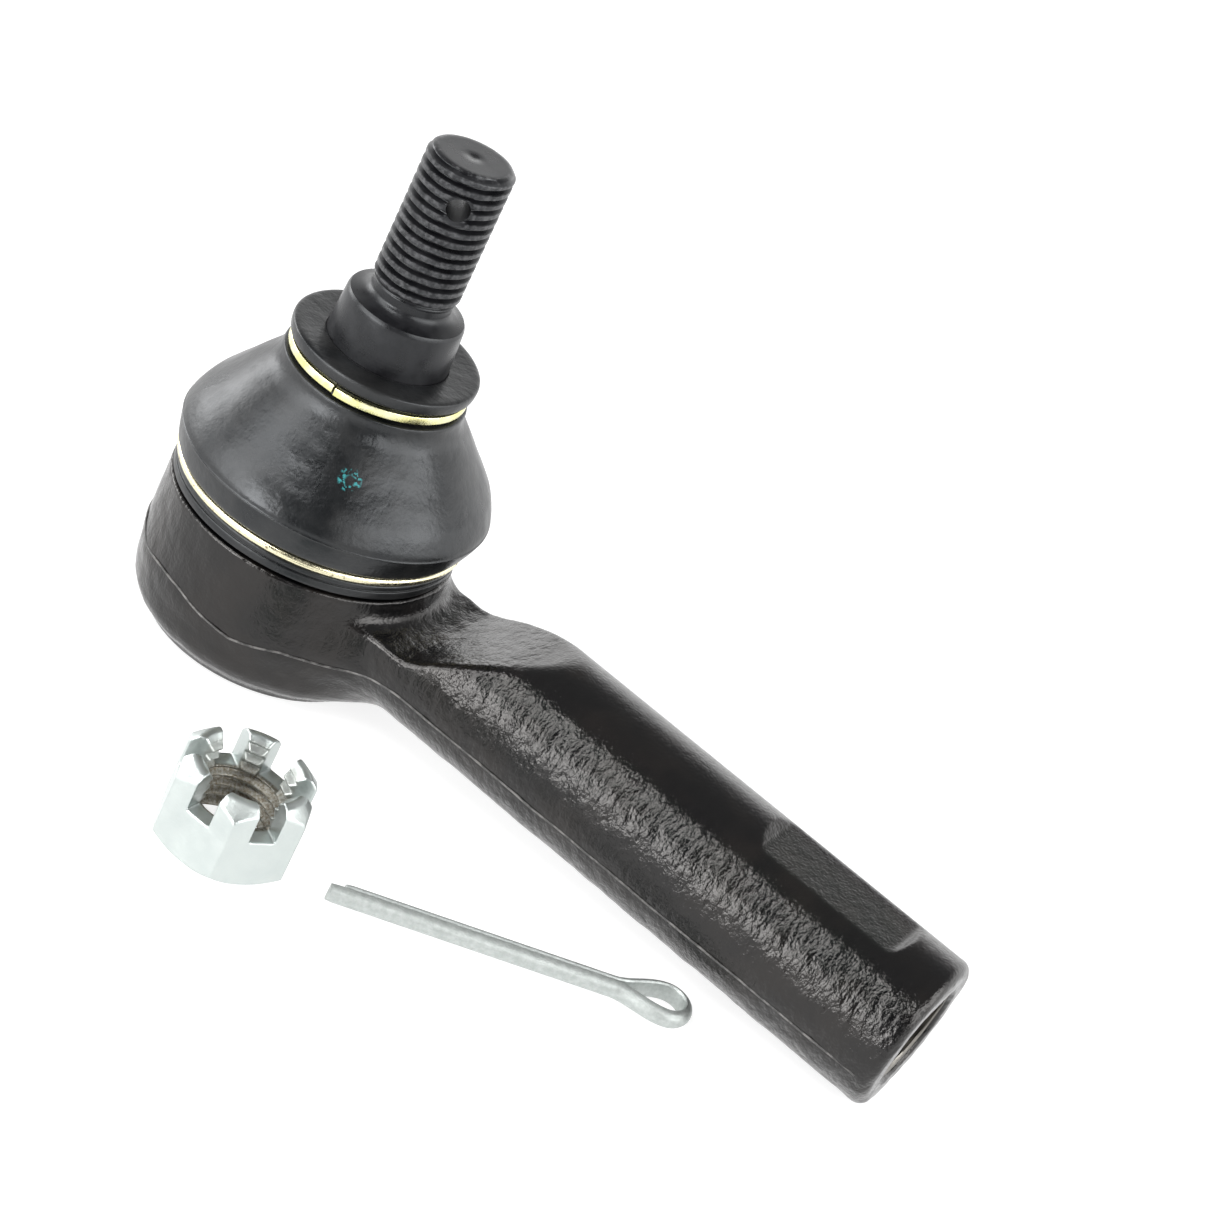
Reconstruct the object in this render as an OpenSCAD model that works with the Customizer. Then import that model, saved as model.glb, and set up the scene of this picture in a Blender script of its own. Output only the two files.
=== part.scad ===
// Outer tie rod end: forged housing, spring-loaded ball stud, dust boot with two clips,
// and its castle nut and cotter pin lying beside it. Millimetres, +Z along the stud,
// origin on the stud axis in the plane that the part stands on, +X towards the shank end.

/* [Ball joint] */
// Height of the ball centre above the standing plane
ball_h = 16; // [15:0.5:18]
// Diameter of the ball
ball_d = 22; // [20:0.5:23]
// Radial gap between the ball and its resin seat
seat_gap = 0.05; // [0.02:0.01:0.1]
// Wall of the resin seat beside the ball
seat_wall = 3; // [2.5:0.25:3.5]

/* [Housing] */
// Outside diameter of the head
head_d = 40.8; // [39:0.2:44]
// Height of the flat top of the head, where the boot lip sits
head_h = 20.5; // [19:0.5:22]
// Diameter of the shank
shank_d = 22.8; // [20:0.2:24]
// Distance from the ball centre to the end face of the shank
shank_len = 106.8; // [80:0.5:130]
// Slope of the shank, down from the plane across the stud
shank_droop = 2.5; // [0:0.5:2.5]
// Distance across the two wrench flats of the shank
flats_w = 20.5; // [18:0.5:22]
// Drilled diameter of the M14 x 1.5 thread in the shank
shank_bore_d = 12.4; // [10.5:0.1:14.5]
// Depth of the drilled hole in the shank
shank_bore_len = 50; // [30:1:60]

/* [Stud] */
// Outside diameter of the stud thread, M12 x 1.5
thread_d = 12; // [10:0.5:12]
// Height of the stud's top face above the standing plane
stud_top = 76.5; // [72:0.5:90]
// Height of the shoulder between the taper and the thread
shoulder_h = 53.7; // [52:0.1:56]
// Diameter of the taper at the shoulder
taper_d = 16.4; // [15:0.1:17]
// Length of taper over which its diameter grows by one
taper_ratio = 8; // [6:1:12]
// Diameter of the cotter pin hole across the thread
pin_hole_d = 3.2; // [2.5:0.1:4]
// Largest tilt of the stud away from upright, in degrees
stud_tilt = 22; // [15:1:22]

/* [Boot] */
// Largest diameter of the rubber boot
boot_d = 43.4; // [41:0.2:46]
// Thickness of the boot wall
boot_wall = 1.8; // [1.2:0.1:2.2]
// Wire diameter of the lower boot clip
lower_clip_wire = 1.3; // [1:0.1:1.5]
// Height of the upper boot clip's flat band
upper_clip_h = 1.2; // [1:0.1:1.4]

/* [Loose hardware] */
// Distance across the flats of the castle nut
nut_af = 17; // [16:1:19]
// Height of the castle nut
nut_h = 12; // [11:0.5:14]
// Width of the castle nut's six slots
nut_slot_w = 3.6; // [3:0.1:4.2]
// Depth of the castle nut's slots from its top
nut_slot_depth = 5; // [4:0.5:6]
// Place of the castle nut beside the head
nut_x = 26.2; // [20:0.1:30]
nut_y = -42.6; // [-50:0.1:-40]
// Diameter of the cotter pin's closed legs
pin_d = 2.8; // [2:0.1:3]
// Whole length of the cotter pin with its eye
pin_len = 49.6; // [40:0.1:60]
// Place of the cotter pin's leg tips
pin_x = 40.6; // [38:0.1:46]
pin_y = -38.8; // [-42:0.1:-34]
// Direction in which the cotter pin points, tips to eye
pin_turn = 32.5; // [25:0.5:40]

/* [Hidden] */
$fn = 96;
eps = 0.01;

// Head outline: a drafted lower edge, a nearly straight side and a clip neck on top
head_r = head_d / 2;
head_base_r = head_r - 3.2;
head_draft_r = head_r - 0.6;
head_draft_h = 3.6;
head_side_h = 8.6;
neck_r = 17.3;
neck_h = 25.5;
neck_groove_r = 16.8;
neck_groove_h = 1.6;
lower_clip_h = 23.8;

// Inside of the head, from the rolled lip up to the stud's opening
ball_r = ball_d / 2;
seat_r = ball_r + seat_wall;
lip_h = 1.2;
lip_r = 13.4;
cover_r = 15.5;
cover_h = 2;
cover_top = lip_h + cover_h;
seat_shoulder_h = 20.5;
seat_top_h = 23;
seat_top_r = 11.2;
swing_clear = 0.15;
opening_clear = 0.5;

// Shank details
shank_r = shank_d / 2;
end_chamfer = 1.6;
bore_mouth_r = 7.3;
saddle_r = 19;
saddle_x = 26;
saddle_drop = 7.6;
flats_start = 77;
flats_len = 22;
web_fillet_r = 6;
web_low = 7;
web_high = 16.5;
boot_clear = 1.4;

// Stud details
thread_r = thread_d / 2;
thread_chamfer = 0.7;
thread_low = 56.4;
runout_r = 5;
shoulder_r = taper_d / 2;
taper_low = 39;
taper_low_r = shoulder_r + (shoulder_h - taper_low) / (2 * taper_ratio);
stud_neck_r = 6.9;
stud_neck_top = 31;
pin_hole_h = 71.3;
pin_hole_turn = -56;

// Boot outline
boot_r = boot_d / 2;
boot_top = 47.3;
boot_flange_r = 13;
boot_flange_low = 45.2;
boot_waist_r = 11.7;
boot_waist_low = 43.3;
boot_bulge_h = 28.5;
boot_foot_r = 20.1;
boot_foot_h = 20.6;
boot_gap = 0.1;
clip_turn = 205;
clip_split = 3;

// Cotter pin: half the hairline between its legs, and the eye at its end
leg_gap = 0.03;
short_leg = 2;
eye_in_r = 2.3;
eye_x = pin_len - eye_in_r - pin_d / 2;
fork_x = eye_x - 7.5;
fork_steps = 8;
eye_step = 15;
wire_step = 22.5;

// Preload washer
washer_in_r = 6.5;
washer_out_r = 13;
washer_t = 0.9;

// Turns the shank's own axis, +Z, into the drooping direction through the ball centre
module along_shank() {
    translate([0, 0, ball_h]) rotate([0, 90 + shank_droop, 0]) children();
}

module head_blank() {
    rotate_extrude() polygon([
        [0, 0], [head_base_r, 0], [head_draft_r, head_draft_h], [head_r, head_side_h],
        [head_r, head_h - 0.4], [head_r - 0.4, head_h], [neck_r, head_h],
        [neck_r, lower_clip_h - neck_groove_h / 2], [neck_groove_r, lower_clip_h],
        [neck_r, lower_clip_h + neck_groove_h / 2], [neck_r, neck_h - 0.5],
        [neck_r - 0.5, neck_h], [0, neck_h]]);
}

module shank_blank() {
    along_shank() union() {
        cylinder(r = shank_r, h = shank_len - end_chamfer);
        translate([0, 0, shank_len - end_chamfer])
            cylinder(r1 = shank_r, r2 = shank_r - end_chamfer, h = end_chamfer);
    }
}

// Flat and concave top of the arm, between the head and the full round shank
module saddle_cut() {
    saddle_floor = ball_h - saddle_x * sin(shank_droop) + shank_r - saddle_drop;
    translate([saddle_x, 0, saddle_floor + saddle_r]) rotate([90, 0, 0])
        cylinder(r = saddle_r, h = shank_d + 2, center = true);
    translate([0, -shank_r - 1, saddle_floor]) cube([saddle_x, shank_d + 2, saddle_r]);
}

// Upper and lower wrench flats near the end of the shank
module flat_cuts() {
    along_shank() for (side = [0, 180]) rotate([0, 0, side])
        translate([flats_w / 2, -shank_r, flats_start]) cube([shank_r, shank_d, flats_len]);
}

// Fillets in plan between the round head and the sides of the arm
module arm_web() {
    web_y = shank_r + web_fillet_r;
    web_x = sqrt(pow(head_r + web_fillet_r, 2) - web_y * web_y);
    translate([0, 0, web_low]) linear_extrude(web_high - web_low) difference() {
        polygon([[0, 0], [web_x, web_y], [web_x, -web_y]]);
        for (side = [-1, 1]) translate([web_x, side * web_y]) circle(r = web_fillet_r);
    }
}

// Radius that the stud's neck sweeps at a height, when the stud tilts all the way
function swing_r(h) = (h - ball_h) * tan(stud_tilt) + stud_neck_r / cos(stud_tilt) + swing_clear;

// Space for the cover plate, the seats and the tilting stud
module head_cavity() {
    opening_r = swing_r(seat_top_h) + opening_clear;
    opening_top_r = swing_r(neck_h) + opening_clear;
    rotate_extrude() polygon([
        [0, -1], [lip_r, -1], [lip_r, lip_h], [cover_r, lip_h], [cover_r, cover_top],
        [seat_r, cover_top], [seat_r, seat_shoulder_h], [seat_top_r, seat_top_h],
        [opening_r, seat_top_h], [opening_top_r, neck_h], [opening_top_r, neck_h + 1], [0, neck_h + 1]]);
}

module shank_bore() {
    bore_r = shank_bore_d / 2;
    mouth_h = bore_mouth_r - bore_r;
    along_shank() translate([0, 0, shank_len - shank_bore_len]) union() {
        cylinder(r = bore_r, h = shank_bore_len + 1);
        translate([0, 0, -bore_r / 2]) cylinder(r1 = 0, r2 = bore_r, h = bore_r / 2 + eps);
        translate([0, 0, shank_bore_len - mouth_h]) cylinder(r1 = bore_r, r2 = bore_mouth_r, h = mouth_h);
        translate([0, 0, shank_bore_len - eps]) cylinder(r = bore_mouth_r, h = 1);
    }
}

module housing() {
    color("#1d1d1f") difference() {
        union() {
            head_blank();
            arm_web();
            difference() {
                shank_blank();
                saddle_cut();
                flat_cuts();
                translate([0, 0, head_h]) cylinder(r = head_r + boot_clear, h = head_d);
            }
        }
        head_cavity();
        shank_bore();
    }
}

// One-piece stud: ball, neck, taper seat, shoulder, thread run-out and cross-drilled thread
module ball_stud() {
    neck_low = ball_h + sqrt(ball_r * ball_r - stud_neck_r * stud_neck_r) - 1;
    color("#2a2b2d") difference() {
        union() {
            translate([0, 0, ball_h]) sphere(r = ball_r);
            rotate_extrude() polygon([
                [0, neck_low], [stud_neck_r, neck_low], [stud_neck_r, stud_neck_top],
                [taper_low_r, taper_low - 2], [taper_low_r, taper_low],
                [shoulder_r, shoulder_h - 0.4], [shoulder_r - 0.4, shoulder_h],
                [runout_r + 0.9, shoulder_h + 0.4], [runout_r, shoulder_h + 1.4],
                [runout_r, thread_low - 0.8], [thread_r, thread_low],
                [thread_r, stud_top - thread_chamfer], [thread_r - thread_chamfer, stud_top],
                [0, stud_top]]);
        }
        translate([0, 0, pin_hole_h]) rotate([90, 0, pin_hole_turn + 90])
            cylinder(d = pin_hole_d, h = thread_d + 2, center = true);
        translate([0, 0, ball_h - ball_r - 1]) cylinder(r = 4, h = 1.6);
    }
}

// Resin half above the ball's equator, wedged under the housing's shoulder
module upper_ball_seat() {
    color("#e6dfc8") difference() {
        rotate_extrude() polygon([
            [0, ball_h + 0.2], [seat_r, ball_h + 0.2], [seat_r, seat_shoulder_h],
            [seat_top_r, seat_top_h], [0, seat_top_h]]);
        translate([0, 0, ball_h]) sphere(r = ball_r + seat_gap);
        translate([0, 0, ball_h])
            cylinder(r1 = swing_r(ball_h), r2 = swing_r(seat_top_h + 1), h = seat_top_h - ball_h + 1);
    }
}

// Resin half below the equator, pushed up by the preload washer
module lower_ball_seat() {
    seat_low = cover_top + washer_t + 0.6;
    color("#e6dfc8") difference() {
        translate([0, 0, seat_low]) cylinder(r = seat_r, h = ball_h - 0.2 - seat_low);
        translate([0, 0, ball_h]) sphere(r = ball_r + seat_gap);
        translate([0, 0, seat_low - 1]) cylinder(r = 4.5, h = ball_h);
    }
}

// Conical spring washer between the cover plate and the lower seat
module preload_washer() {
    color("#8d9196") rotate_extrude() polygon([
        [washer_out_r, cover_top], [washer_out_r, cover_top + washer_t],
        [washer_in_r, cover_top + washer_t + 0.6], [washer_in_r, cover_top + 0.6]]);
}

// Pressed steel cover, held by the rolled lip, its middle flush with the standing plane
module cover_plate() {
    flat_r = 9;
    slope_r = 11.5;
    color("#3b3d40") rotate_extrude() polygon([
        [0, 0], [flat_r, 0], [slope_r, lip_h], [cover_r, lip_h], [cover_r, cover_top],
        [slope_r - 0.8, cover_top], [flat_r - 0.8, cover_h], [0, cover_h]]);
}

// Rubber boot: foot on the head, turned-out bulge, cone, clip waist and sealing flange
module dust_boot() {
    stud_hole_r = taper_low_r + boot_gap;
    foot_in_r = neck_r + boot_gap;
    clip_r = boot_foot_r - 0.6;
    color("#202123") rotate_extrude() polygon([
        [foot_in_r, boot_foot_h], [boot_foot_r, boot_foot_h],
        [boot_foot_r + 0.1, lower_clip_h - 0.9], [clip_r, lower_clip_h - 0.7],
        [clip_r, lower_clip_h + 0.7], [boot_foot_r + 0.2, lower_clip_h + 0.9],
        [boot_r - 0.5, boot_bulge_h - 2], [boot_r, boot_bulge_h], [boot_r - 0.4, 30.2],
        [20.4, 31.5], [18.4, 34], [16.4, 36.8], [14.6, 39], [13.3, 41],
        [boot_flange_r, boot_waist_low - 0.4], [boot_waist_r, boot_waist_low],
        [boot_waist_r, boot_flange_low], [boot_flange_r, boot_flange_low],
        [boot_flange_r, boot_top], [stud_hole_r - 0.4, boot_top],
        [stud_hole_r, taper_low + 2], [stud_hole_r + 1.5, 40.5], [14.6 - boot_wall, 37.5],
        [18 - boot_wall, 33], [boot_r - 0.9 - boot_wall, 30], [boot_r - boot_wall, boot_bulge_h],
        [boot_r - 0.8 - boot_wall, boot_bulge_h - 2.4], [foot_in_r, lower_clip_h + 1.4]]);
}

// Flat steel band, split once and sprung into the boot's upper waist
module upper_boot_clip() {
    band_low = (boot_waist_low + boot_flange_low - upper_clip_h) / 2;
    color("#c9b458") rotate([0, 0, clip_turn]) rotate_extrude(angle = 360 - clip_split)
        translate([boot_waist_r + boot_gap, band_low]) square([0.9, upper_clip_h]);
}

// Closed wire ring in the groove of the boot's foot
module lower_boot_clip() {
    wire_r = lower_clip_wire / 2;
    color("#d3c686") rotate_extrude()
        translate([boot_foot_r - 0.6 + boot_gap + wire_r, lower_clip_h]) circle(r = wire_r);
}

// Hexagon nut with six slots in its crown and a chamfered base
module castle_nut() {
    bore_r = thread_r - 0.75;
    corner_r = nut_af / 2 / cos(30);
    color("#cfd3d6") translate([nut_x, nut_y, 0]) rotate([0, 0, -2]) difference() {
        intersection() {
            cylinder(r = corner_r, h = nut_h, $fn = 6);
            rotate_extrude() polygon([
                [0, 0], [nut_af / 2 - 0.2, 0], [corner_r, 1.1], [corner_r, nut_h - 1.4],
                [nut_af / 2 - 0.6, nut_h], [0, nut_h]]);
        }
        translate([0, 0, -1]) cylinder(r = bore_r, h = nut_h + 2);
        translate([0, 0, -eps]) cylinder(r1 = thread_r + 0.2, r2 = bore_r, h = 0.95);
        for (k = [0:5]) rotate([0, 0, 30 + 60 * k])
            translate([0, -nut_slot_w / 2, nut_h - nut_slot_depth]) cube([nut_af, nut_slot_w, nut_slot_depth + 1]);
    }
}

// Half-round wire folded back on itself round an open eye, lying on its side
module cotter_pin() {
    path = concat([[0, -leg_gap]], eye_path(), [[short_leg, leg_gap]]);
    rings = [for (i = [0:len(path) - 1]) wire_ring(path, i)];
    sides = len(rings[0]);
    last = len(rings) - 1;
    color("#b9bdbe") translate([pin_x, pin_y, pin_d / 2]) rotate([0, 0, pin_turn]) polyhedron(
        points = [for (ring = rings) each ring],
        faces = concat(
            [[for (k = [0:sides - 1]) k]],
            [for (i = [0:last - 1]) for (k = [0:sides - 1])
                [i * sides + k, (i + 1) * sides + k,
                 (i + 1) * sides + (k + 1) % sides, i * sides + (k + 1) % sides]],
            [[for (k = [0:sides - 1]) last * sides + sides - 1 - k]]));
}

// Flat inner face of the wire, from one leg's fork round the eye to the other leg's fork
function eye_path() = concat(
    [for (i = [0:fork_steps]) fork_point(i / fork_steps, -1)],
    [for (a = [-90 + eye_step:eye_step:90 - eye_step]) [eye_x + eye_in_r * cos(a), eye_in_r * sin(a)]],
    [for (i = [0:fork_steps]) fork_point(1 - i / fork_steps, 1)]);

// Point on the smooth spread of one leg, t from 0 at the fork to 1 beside the eye
function fork_point(t, side) =
    [fork_x + t * (eye_x - fork_x), side * (leg_gap + (eye_in_r - leg_gap) * t * t * (3 - 2 * t))];

// Half-round section at one point of the path, its round side turned away from the eye
function wire_ring(path, i) =
    let (ahead = path[min(i + 1, len(path) - 1)], behind = path[max(i - 1, 0)],
         way = (ahead - behind) / norm(ahead - behind), out = [way[1], -way[0]])
    [for (a = [-90:wire_step:90]) [
        path[i][0] + out[0] * cos(a) * pin_d / 2, path[i][1] + out[1] * cos(a) * pin_d / 2,
        sin(a) * pin_d / 2]];

housing();
ball_stud();
upper_ball_seat();
lower_ball_seat();
preload_washer();
cover_plate();
dust_boot();
upper_boot_clip();
lower_boot_clip();
castle_nut();
cotter_pin();
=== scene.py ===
import math

import bmesh
import bpy
import numpy as np
from mathutils import Matrix, Vector, noise


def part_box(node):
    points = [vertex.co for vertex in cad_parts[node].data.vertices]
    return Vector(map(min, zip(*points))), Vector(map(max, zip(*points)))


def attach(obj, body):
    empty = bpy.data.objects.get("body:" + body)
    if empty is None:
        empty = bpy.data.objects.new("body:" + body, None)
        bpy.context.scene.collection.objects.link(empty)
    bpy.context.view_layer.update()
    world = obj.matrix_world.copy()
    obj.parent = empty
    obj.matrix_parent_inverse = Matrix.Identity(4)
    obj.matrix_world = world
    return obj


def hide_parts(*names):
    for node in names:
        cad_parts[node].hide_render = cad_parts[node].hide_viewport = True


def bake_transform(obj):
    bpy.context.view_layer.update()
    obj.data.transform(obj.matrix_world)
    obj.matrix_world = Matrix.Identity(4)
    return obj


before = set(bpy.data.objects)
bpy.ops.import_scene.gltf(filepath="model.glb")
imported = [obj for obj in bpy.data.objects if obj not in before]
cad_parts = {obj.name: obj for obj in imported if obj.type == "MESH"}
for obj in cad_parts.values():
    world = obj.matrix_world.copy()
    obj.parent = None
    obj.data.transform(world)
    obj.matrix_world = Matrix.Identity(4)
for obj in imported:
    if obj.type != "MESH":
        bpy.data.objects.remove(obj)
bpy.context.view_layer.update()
mm = 0.001


# ---- Camera: looks down on the near side from about 400 mm away ----
# It is rolled so that the stud leans to the right and the shank runs to the lower right corner.
camera_place = Vector((0.1505, -0.3327, 0.2312))
camera_ahead = Vector((-0.26766, 0.83009, -0.48919)).normalized()
camera_roll = math.radians(27.62)
camera_view = math.radians(22.1)

level_right = camera_ahead.cross(Vector((0, 0, 1))).normalized()
level_up = level_right.cross(camera_ahead)
camera_right = level_right * math.cos(camera_roll) + level_up * math.sin(camera_roll)
camera_up = level_up * math.cos(camera_roll) - level_right * math.sin(camera_roll)
lens = bpy.data.cameras.new("camera")
lens.sensor_width = 36
lens.angle = camera_view
lens.clip_start = 0.01
camera = bpy.data.objects.new("camera", lens)
camera.matrix_world = Matrix.Translation(camera_place) @ Matrix(
    (camera_right, camera_up, -camera_ahead)).transposed().to_4x4()
bpy.context.collection.objects.link(camera)
bpy.context.scene.camera = camera
bpy.context.scene.view_settings.view_transform = "Standard"


# ---- Studio: a pale sweep with a bright horizon, a dim ceiling and five soft boxes ----
# The floor glows, so that it stays white under the part and takes only a faint shadow. The room
# is darker on the near side, which leaves dark bands between the soft boxes in the shiny coat.
class Finish:
    """A material and its node tree, with short calls for wiring nodes together."""

    def __init__(self, name):
        self.material = bpy.data.materials.new(name)
        self.material.use_nodes = True
        self.tree = self.material.node_tree
        self.shader = self.tree.nodes["Principled BSDF"]

    def node(self, kind, **settings):
        made = self.tree.nodes.new(kind)
        for key, value in settings.items():
            setattr(made, key, value)
        return made

    def wire(self, source, target):
        self.tree.links.new(source, target)

    def constant(self, **values):
        for key, value in values.items():
            self.shader.inputs[key.replace("_", " ")].default_value = value

    def place(self, attribute=None):
        """Where the surface is, in metres: its own rest coordinates, or a stored attribute of them."""
        if attribute:
            return self.node("ShaderNodeAttribute", attribute_name=attribute).outputs["Vector"]
        return self.node("ShaderNodeTexCoord").outputs["Object"]

    def stretched(self, source, scale):
        mapping = self.node("ShaderNodeMapping")
        mapping.inputs["Scale"].default_value = scale
        self.wire(source, mapping.inputs["Vector"])
        return mapping.outputs["Vector"]

    def grain(self, source, size, detail=3.0, rough=0.55):
        """Soft noise with lumps of about the given size in metres."""
        texture = self.node("ShaderNodeTexNoise")
        texture.inputs["Scale"].default_value = 1 / size
        texture.inputs["Detail"].default_value = detail
        texture.inputs["Roughness"].default_value = rough
        self.wire(source, texture.inputs["Vector"])
        return texture.outputs["Fac"]

    def remap(self, source, low, high, out_low=0.0, out_high=1.0):
        span = self.node("ShaderNodeMapRange", interpolation_type="SMOOTHSTEP")
        ends = (low, high, out_low, out_high)
        for socket, value in zip(("From Min", "From Max", "To Min", "To Max"), ends):
            span.inputs[socket].default_value = value
        self.wire(source, span.inputs["Value"])
        return span.outputs["Result"]

    def math(self, operation, a, b):
        made = self.node("ShaderNodeMath", operation=operation)
        for socket, value in zip(made.inputs, (a, b)):
            if isinstance(value, (int, float)):
                socket.default_value = value
            else:
                self.wire(value, socket)
        return made.outputs["Value"]

    def mixed(self, share, first, second):
        """Blends two colours, each a tuple or a socket, by a share from 0 to 1."""
        mix = self.node("ShaderNodeMix", data_type="RGBA")
        self.wire(share, mix.inputs["Factor"])
        for socket, colour in ((mix.inputs[6], first), (mix.inputs[7], second)):
            if isinstance(colour, tuple):
                socket.default_value = (*colour, 1)
            else:
                self.wire(colour, socket)
        return mix.outputs[2]

    def bumps(self, *layers):
        """Layers of (height socket, depth in metres), the last one on top."""
        below = None
        for height, depth in layers:
            bump = self.node("ShaderNodeBump")
            bump.inputs["Distance"].default_value = depth
            self.wire(height, bump.inputs["Height"])
            if below:
                self.wire(below, bump.inputs["Normal"])
            below = bump.outputs["Normal"]
        self.wire(below, self.shader.inputs["Normal"])
        return below

    def paint(self, colour=None, roughness=None):
        if colour:
            self.wire(colour, self.shader.inputs["Base Color"])
        if roughness:
            self.wire(roughness, self.shader.inputs["Roughness"])


floor_size = 6.0
floor_drop = 0.05
floor_grey = (0.4, 0.4, 0.4, 1)
floor_glow = 0.8
floor_mesh = bpy.data.meshes.new("floor")
half = floor_size / 2
floor_corners = [(-half, -half, 0), (half, -half, 0), (half, half, 0), (-half, half, 0)]
floor_mesh.from_pydata(floor_corners, [], [(0, 1, 2, 3)])
floor = bpy.data.objects.new("floor", floor_mesh)
floor.location.z = -floor_drop * mm
bpy.context.collection.objects.link(floor)
card = Finish("white_card")
card.constant(Base_Color=floor_grey, Roughness=0.9, Emission_Color=(1, 1, 1, 1),
              Emission_Strength=floor_glow, Specular_IOR_Level=0.1)
floor.data.materials.append(card.material)

horizon_light = 1.9
ceiling_light = 0.34
horizon_top = 0.2
ceiling_start = 0.6
dark_side = (0.26, -0.97, 0)
dark_light = 0.16
dark_start = 0.1
dark_full = 0.75
world = bpy.data.worlds.new("studio")
world.use_nodes = True
bpy.context.scene.world = world
sky = world.node_tree
sky_direction = sky.nodes.new("ShaderNodeTexCoord")
sky_height = sky.nodes.new("ShaderNodeSeparateXYZ")
sky_ramp = sky.nodes.new("ShaderNodeValToRGB")
sky.links.new(sky_direction.outputs["Generated"], sky_height.inputs[0])
sky.links.new(sky_height.outputs["Z"], sky_ramp.inputs["Fac"])
sky.links.new(sky_ramp.outputs["Color"], sky.nodes["Background"].inputs["Color"])
sky_ramp.color_ramp.elements[0].position = horizon_top
sky_ramp.color_ramp.elements[0].color = (horizon_light, horizon_light, horizon_light, 1)
sky_ramp.color_ramp.elements[1].position = ceiling_start
sky_ramp.color_ramp.elements[1].color = (ceiling_light, ceiling_light, ceiling_light, 1)
room_side = sky.nodes.new("ShaderNodeVectorMath")
room_side.operation = "DOT_PRODUCT"
room_side.inputs[1].default_value = dark_side
room_dark = sky.nodes.new("ShaderNodeMapRange")
dark_ends = (dark_start, dark_full, 1.0, dark_light)
for socket, value in zip(("From Min", "From Max", "To Min", "To Max"), dark_ends):
    room_dark.inputs[socket].default_value = value
sky.links.new(sky_direction.outputs["Generated"], room_side.inputs[0])
sky.links.new(room_side.outputs["Value"], room_dark.inputs["Value"])
sky.links.new(room_dark.outputs["Result"], sky.nodes["Background"].inputs["Strength"])


boxes_centre = Vector((0.03, 0, 0.02))


def soft_box(name, azimuth, elevation, distance, width, height, brightness):
    """Lamp that faces the part: azimuth 0 is on +X, -90 on the near side; brightness is its radiance."""
    lamp = bpy.data.lights.new(name, "AREA")
    lamp.shape = "RECTANGLE"
    lamp.size = width
    lamp.size_y = height
    lamp.energy = brightness * math.pi * width * height
    box = bpy.data.objects.new(name, lamp)
    a, e = math.radians(azimuth), math.radians(elevation)
    away = Vector((math.cos(e) * math.cos(a), math.cos(e) * math.sin(a), math.sin(e)))
    box.location = away * distance + boxes_centre
    box.rotation_euler = away.to_track_quat("Z", "Y").to_euler()
    bpy.context.collection.objects.link(box)


soft_box("left_box", 175, 9, 1.0, 0.5, 0.45, 5.0)
soft_box("front_box", -131, 26, 1.0, 0.5, 0.85, 4.6)
soft_box("front_low_box", -105, 12, 1.0, 0.42, 0.4, 10.0)
soft_box("front_high_box", -106, 53, 1.0, 0.42, 0.24, 8.0)
soft_box("right_box", -5, 31, 1.0, 1.2, 0.52, 4.2)


# ---- Housing: one drop forging, a round head with a long shank, coated black over its scale ----
# The head is bored from below for the ball and closed by rolling its lip over the cover. The dies
# leave a flash line round it; the shank has two forged wrench flats and a tapped blind hole.
ball_h = 16.0
head_top = 20.5
shank_r = 11.4
shank_len = 106.8
droop = math.radians(2.5)
flat_h = 10.25
flat_start = 77.6
flat_end = 98.4
flat_run_in = math.radians(30)
flat_run_out = math.radians(44)
end_round = 1.5
tap_r = 7.0
tap_depth = 50.0
mouth_r = 7.45
web_fillet = 5.0
saddle_fillet = 2.4
web_top = 11.0
saddle_low = 17.5
saddle_share = 0.86
start_edge = 0.08
end_edge = 0.35
flat_edge = 0.15
saddle_edge = 0.7
ledge_edge = 0.35
neck_edge = 0.2
hole_edge = 0.12
boot_ledge_r = 21.6
head_outline = [(0, 0.3), (16.3, 0.3), (17.0, 0.75), (17.15, 1.15), (18.1, 2.0), (18.9, 2.9),
                (19.4, 3.9), (19.65, 5.2), (20.1, 8.8), (20.12, 20.2), (0, 20.2)]
head_edge = 0.3
neck_outline = [(0, 19), (17.1, 19), (17.1, 23.0), (16.6, 23.8), (17.1, 24.6), (17.1, 25.2),
                (16.7, 25.5), (0, 25.5)]
cavity_outline = [(0, -1), (13.4, -1), (13.4, 1.2), (15.5, 1.2), (15.5, 3.2), (14, 3.2), (14, 20.5),
                  (11.2, 23), (10.8, 23), (12.2, 25.5), (12.2, 27), (0, 27)]
saddle_line = [(0, 16.9), (22, 16.9), (24, 16.7), (25.6, 16.9), (27.2, 17.6), (29, 18.7), (32, 20.4),
               (36, 22.5), (41, 24.7), (46, 27.0), (130, 64)]


def outline_gap(r, z, outline):
    """Signed distance from points (r, z) to a closed outline, negative inside it."""
    nearest = np.full(r.shape, 1e9)
    inside = np.zeros(r.shape, bool)
    for (ar, az), (br, bz) in zip(outline, outline[1:] + outline[:1]):
        along_r, along_z = br - ar, bz - az
        share = np.clip(((r - ar) * along_r + (z - az) * along_z) / (along_r ** 2 + along_z ** 2), 0, 1)
        nearest = np.minimum(nearest, (r - ar - share * along_r) ** 2 + (z - az - share * along_z) ** 2)
        if along_z:
            inside ^= ((az <= z) != (bz <= z)) & (r < ar + along_r * (z - az) / along_z)
    return np.where(inside, -1, 1) * np.sqrt(nearest)


def joined(a, b, fillet):
    """Union of two forms with a concave fillet where they meet."""
    corner = np.hypot(np.maximum(fillet - a, 0), np.maximum(fillet - b, 0))
    return np.maximum(fillet, np.minimum(a, b)) - corner


def cut(a, b, rounding):
    """What is inside both forms, its edges rounded."""
    corner = np.hypot(np.maximum(rounding + a, 0), np.maximum(rounding + b, 0))
    return np.minimum(-rounding, np.maximum(a, b)) + corner


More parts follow.
